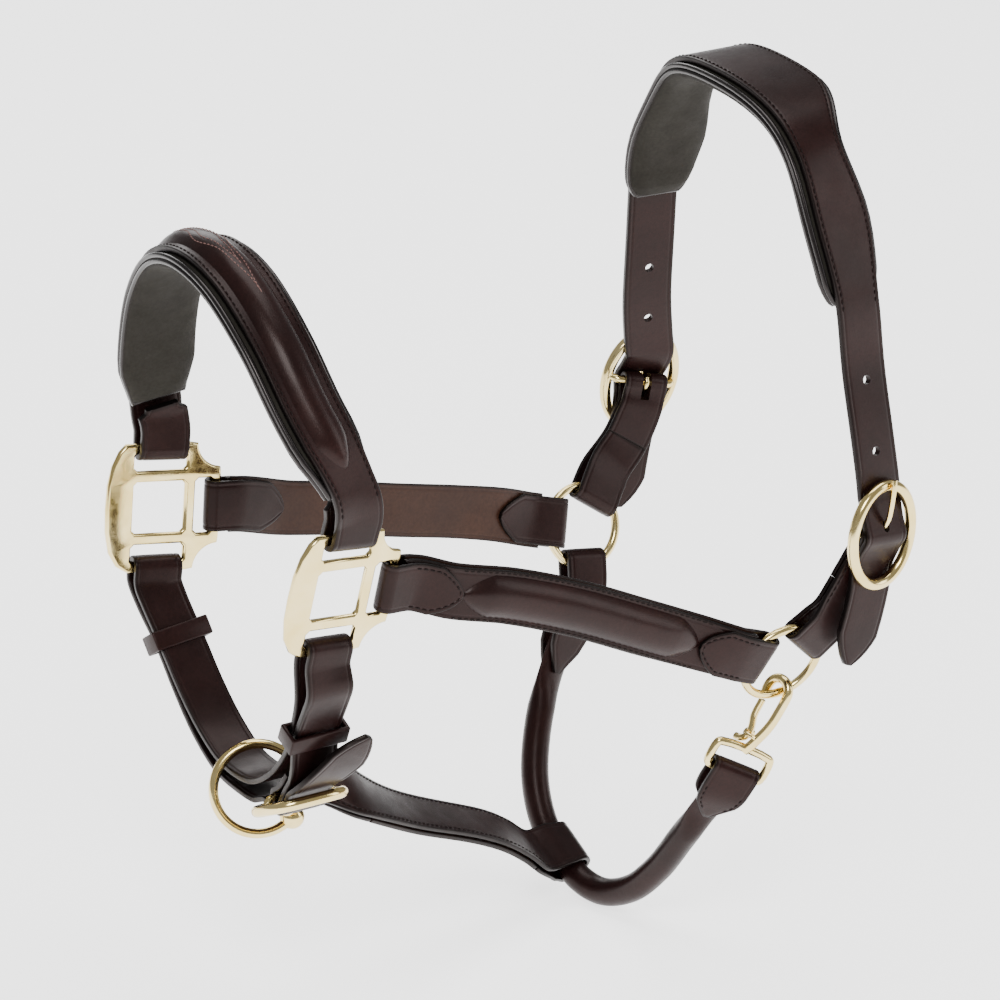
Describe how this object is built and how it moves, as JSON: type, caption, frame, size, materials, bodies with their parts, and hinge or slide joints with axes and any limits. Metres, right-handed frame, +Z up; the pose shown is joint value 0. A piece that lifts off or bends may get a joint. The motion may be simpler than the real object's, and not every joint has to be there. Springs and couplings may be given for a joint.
{
  "type": "leather headcollar",
  "caption": "Padded leather horse headcollar with brass squares, cheek rings and buckles, a rolled throat lash on a snap hook and a lead ring under the chin.",
  "frame": {"origin": "middle of the inner face of the noseband padding, at the top of its arch, where it rests on the nose", "axes": "-X towards the horse's muzzle, -Y towards its near (left) side, +Z up"},
  "size_m": [0.3356, 0.2228, 0.4141],
  "materials": {
    "brass_near_square": "polished solid brass",
    "brass_far_square": "polished solid brass",
    "leather_near_cheek_strap": "havana bridle leather, waxed",
    "lining_near_cheek_lining": "soft matt padded lining leather",
    "leather_near_cheek_square_loop": "havana bridle leather, waxed",
    "leather_near_cheek_ring_loop": "havana bridle leather, waxed",
    "leather_near_cheek_raised": "havana bridle leather, waxed",
    "leather_far_cheek_strap": "havana bridle leather, waxed",
    "lining_far_cheek_lining": "soft matt padded lining leather",
    "leather_far_cheek_square_loop": "havana bridle leather, waxed",
    "leather_far_cheek_ring_loop": "havana bridle leather, waxed",
    "leather_far_cheek_raised": "havana bridle leather, waxed",
    "leather_noseband_strap": "havana bridle leather, waxed",
    "leather_noseband_raised": "havana bridle leather, waxed",
    "lining_noseband_pad": "soft matt padded lining leather",
    "leather_chin_strap": "havana bridle leather, waxed",
    "brass_chin_buckle_frame": "polished solid brass",
    "leather_throat_far_loop": "havana bridle leather, waxed",
    "leather_throat_snap_loop": "havana bridle leather, waxed",
    "leather_throat_lash": "havana bridle leather, waxed",
    "leather_jowl_strap": "havana bridle leather, waxed",
    "flesh_jowl_strap_lining": "undyed leather edge, burnished",
    "brass_snap_body": "polished solid brass",
    "leather_crown_strap": "havana bridle leather, waxed",
    "lining_crown_pad": "soft matt padded lining leather",
    "leather_near_crown_chape": "havana bridle leather, waxed",
    "leather_far_crown_chape": "havana bridle leather, waxed",
    "brass_near_buckle_frame": "polished solid brass",
    "brass_far_buckle_frame": "polished solid brass",
    "brass_near_buckle_tongue": "polished solid brass",
    "brass_far_buckle_tongue": "polished solid brass",
    "brass_chin_buckle_tongue": "polished solid brass",
    "brass_near_ring": "polished solid brass",
    "brass_far_ring": "polished solid brass",
    "brass_lead_ring": "polished solid brass",
    "brass_lead_ring_ball": "polished solid brass",
    "brass_snap_gate": "polished solid brass",
    "leather_near_chin_keeper": "havana bridle leather, waxed",
    "leather_far_chin_keeper": "havana bridle leather, waxed"
  },
  "bodies": {
    "headcollar": {"near_square": "brass_near_square", "far_square": "brass_far_square", "near_cheek_strap": "leather_near_cheek_strap", "near_cheek_lining": "lining_near_cheek_lining", "near_cheek_square_loop": "leather_near_cheek_square_loop", "near_cheek_ring_loop": "leather_near_cheek_ring_loop", "near_cheek_raised": "leather_near_cheek_raised", "far_cheek_strap": "leather_far_cheek_strap", "far_cheek_lining": "lining_far_cheek_lining", "far_cheek_square_loop": "leather_far_cheek_square_loop", "far_cheek_ring_loop": "leather_far_cheek_ring_loop", "far_cheek_raised": "leather_far_cheek_raised", "noseband_strap": "leather_noseband_strap", "noseband_raised": "leather_noseband_raised", "noseband_pad": "lining_noseband_pad", "chin_strap": "leather_chin_strap", "chin_buckle_frame": "brass_chin_buckle_frame", "throat_far_loop": "leather_throat_far_loop", "throat_snap_loop": "leather_throat_snap_loop", "throat_lash": "leather_throat_lash", "jowl_strap": "leather_jowl_strap", "jowl_strap_lining": "flesh_jowl_strap_lining", "snap_body": "brass_snap_body"},
    "crown": {"crown_strap": "leather_crown_strap", "crown_pad": "lining_crown_pad", "near_crown_chape": "leather_near_crown_chape", "far_crown_chape": "leather_far_crown_chape", "near_buckle_frame": "brass_near_buckle_frame", "far_buckle_frame": "brass_far_buckle_frame"},
    "near_tongue": {"near_buckle_tongue": "brass_near_buckle_tongue"},
    "far_tongue": {"far_buckle_tongue": "brass_far_buckle_tongue"},
    "chin_tongue": {"chin_buckle_tongue": "brass_chin_buckle_tongue"},
    "near_cheek_ring": {"near_ring": "brass_near_ring"},
    "far_cheek_ring": {"far_ring": "brass_far_ring"},
    "lead_ring_and_ball": {"lead_ring": "brass_lead_ring", "lead_ring_ball": "brass_lead_ring_ball"},
    "snap_gate_lever": {"snap_gate": "brass_snap_gate"},
    "near_keeper": {"near_chin_keeper": "leather_near_chin_keeper"},
    "far_keeper": {"far_chin_keeper": "leather_far_chin_keeper"}
  },
  "joints": [
    {"name": "crown_swing", "type": "hinge", "parent": "headcollar", "child": "crown", "pos_m": [0.251, -0.004, -0.20955], "axis": [0.0114, 0.9991, 0.0417], "range_deg": [-8, 8]},
    {"name": "near_tongue_lift", "type": "hinge", "parent": "crown", "child": "near_tongue", "pos_m": [0.29196, -0.10544, -0.15226], "axis": [0.9818, 0.1355, -0.133], "range_deg": [0, 12]},
    {"name": "far_tongue_lift", "type": "hinge", "parent": "crown", "child": "far_tongue", "pos_m": [0.29638, 0.09745, -0.14392], "axis": [-0.9611, 0.1193, 0.2489], "range_deg": [0, 12]},
    {"name": "chin_tongue_lift", "type": "hinge", "parent": "headcollar", "child": "chin_tongue", "pos_m": [0.0162, -0.04402, -0.24135], "axis": [-1, 0, 0], "range_deg": [0, 12]},
    {"name": "near_ring_spin", "type": "hinge", "parent": "headcollar", "child": "near_cheek_ring", "pos_m": [0.25, -0.0915, -0.2132], "axis": [-0.05, -0.9495, -0.3098], "continuous": true},
    {"name": "far_ring_spin", "type": "hinge", "parent": "headcollar", "child": "far_cheek_ring", "pos_m": [0.252, 0.0835, -0.2059], "axis": [-0.05, 0.9495, -0.3098], "continuous": true},
    {"name": "lead_ring_spin", "type": "hinge", "parent": "headcollar", "child": "lead_ring_and_ball", "pos_m": [0.0154, -0.009, -0.2533], "axis": [0.3006, 0.9018, -0.3106], "range_deg": [0, 90]},
    {"name": "snap_gate_press", "type": "hinge", "parent": "headcollar", "child": "snap_gate_lever", "pos_m": [0.2413, -0.0789, -0.25226], "axis": [0.8918, 0.23, -0.3896], "range_deg": [0, 16], "stiffness_Nm_per_rad": 0.02, "springref_deg": -20.05},
    {"name": "near_keeper_slide", "type": "slide", "parent": "headcollar", "child": "near_keeper", "axis": [0, -0.4031, 0.9152], "range_m": [-0.003, 0.003]},
    {"name": "far_keeper_slide", "type": "slide", "parent": "headcollar", "child": "far_keeper", "axis": [-0.0899, 0.5515, 0.8293], "range_m": [-0.003, 0.003]}
  ]
}
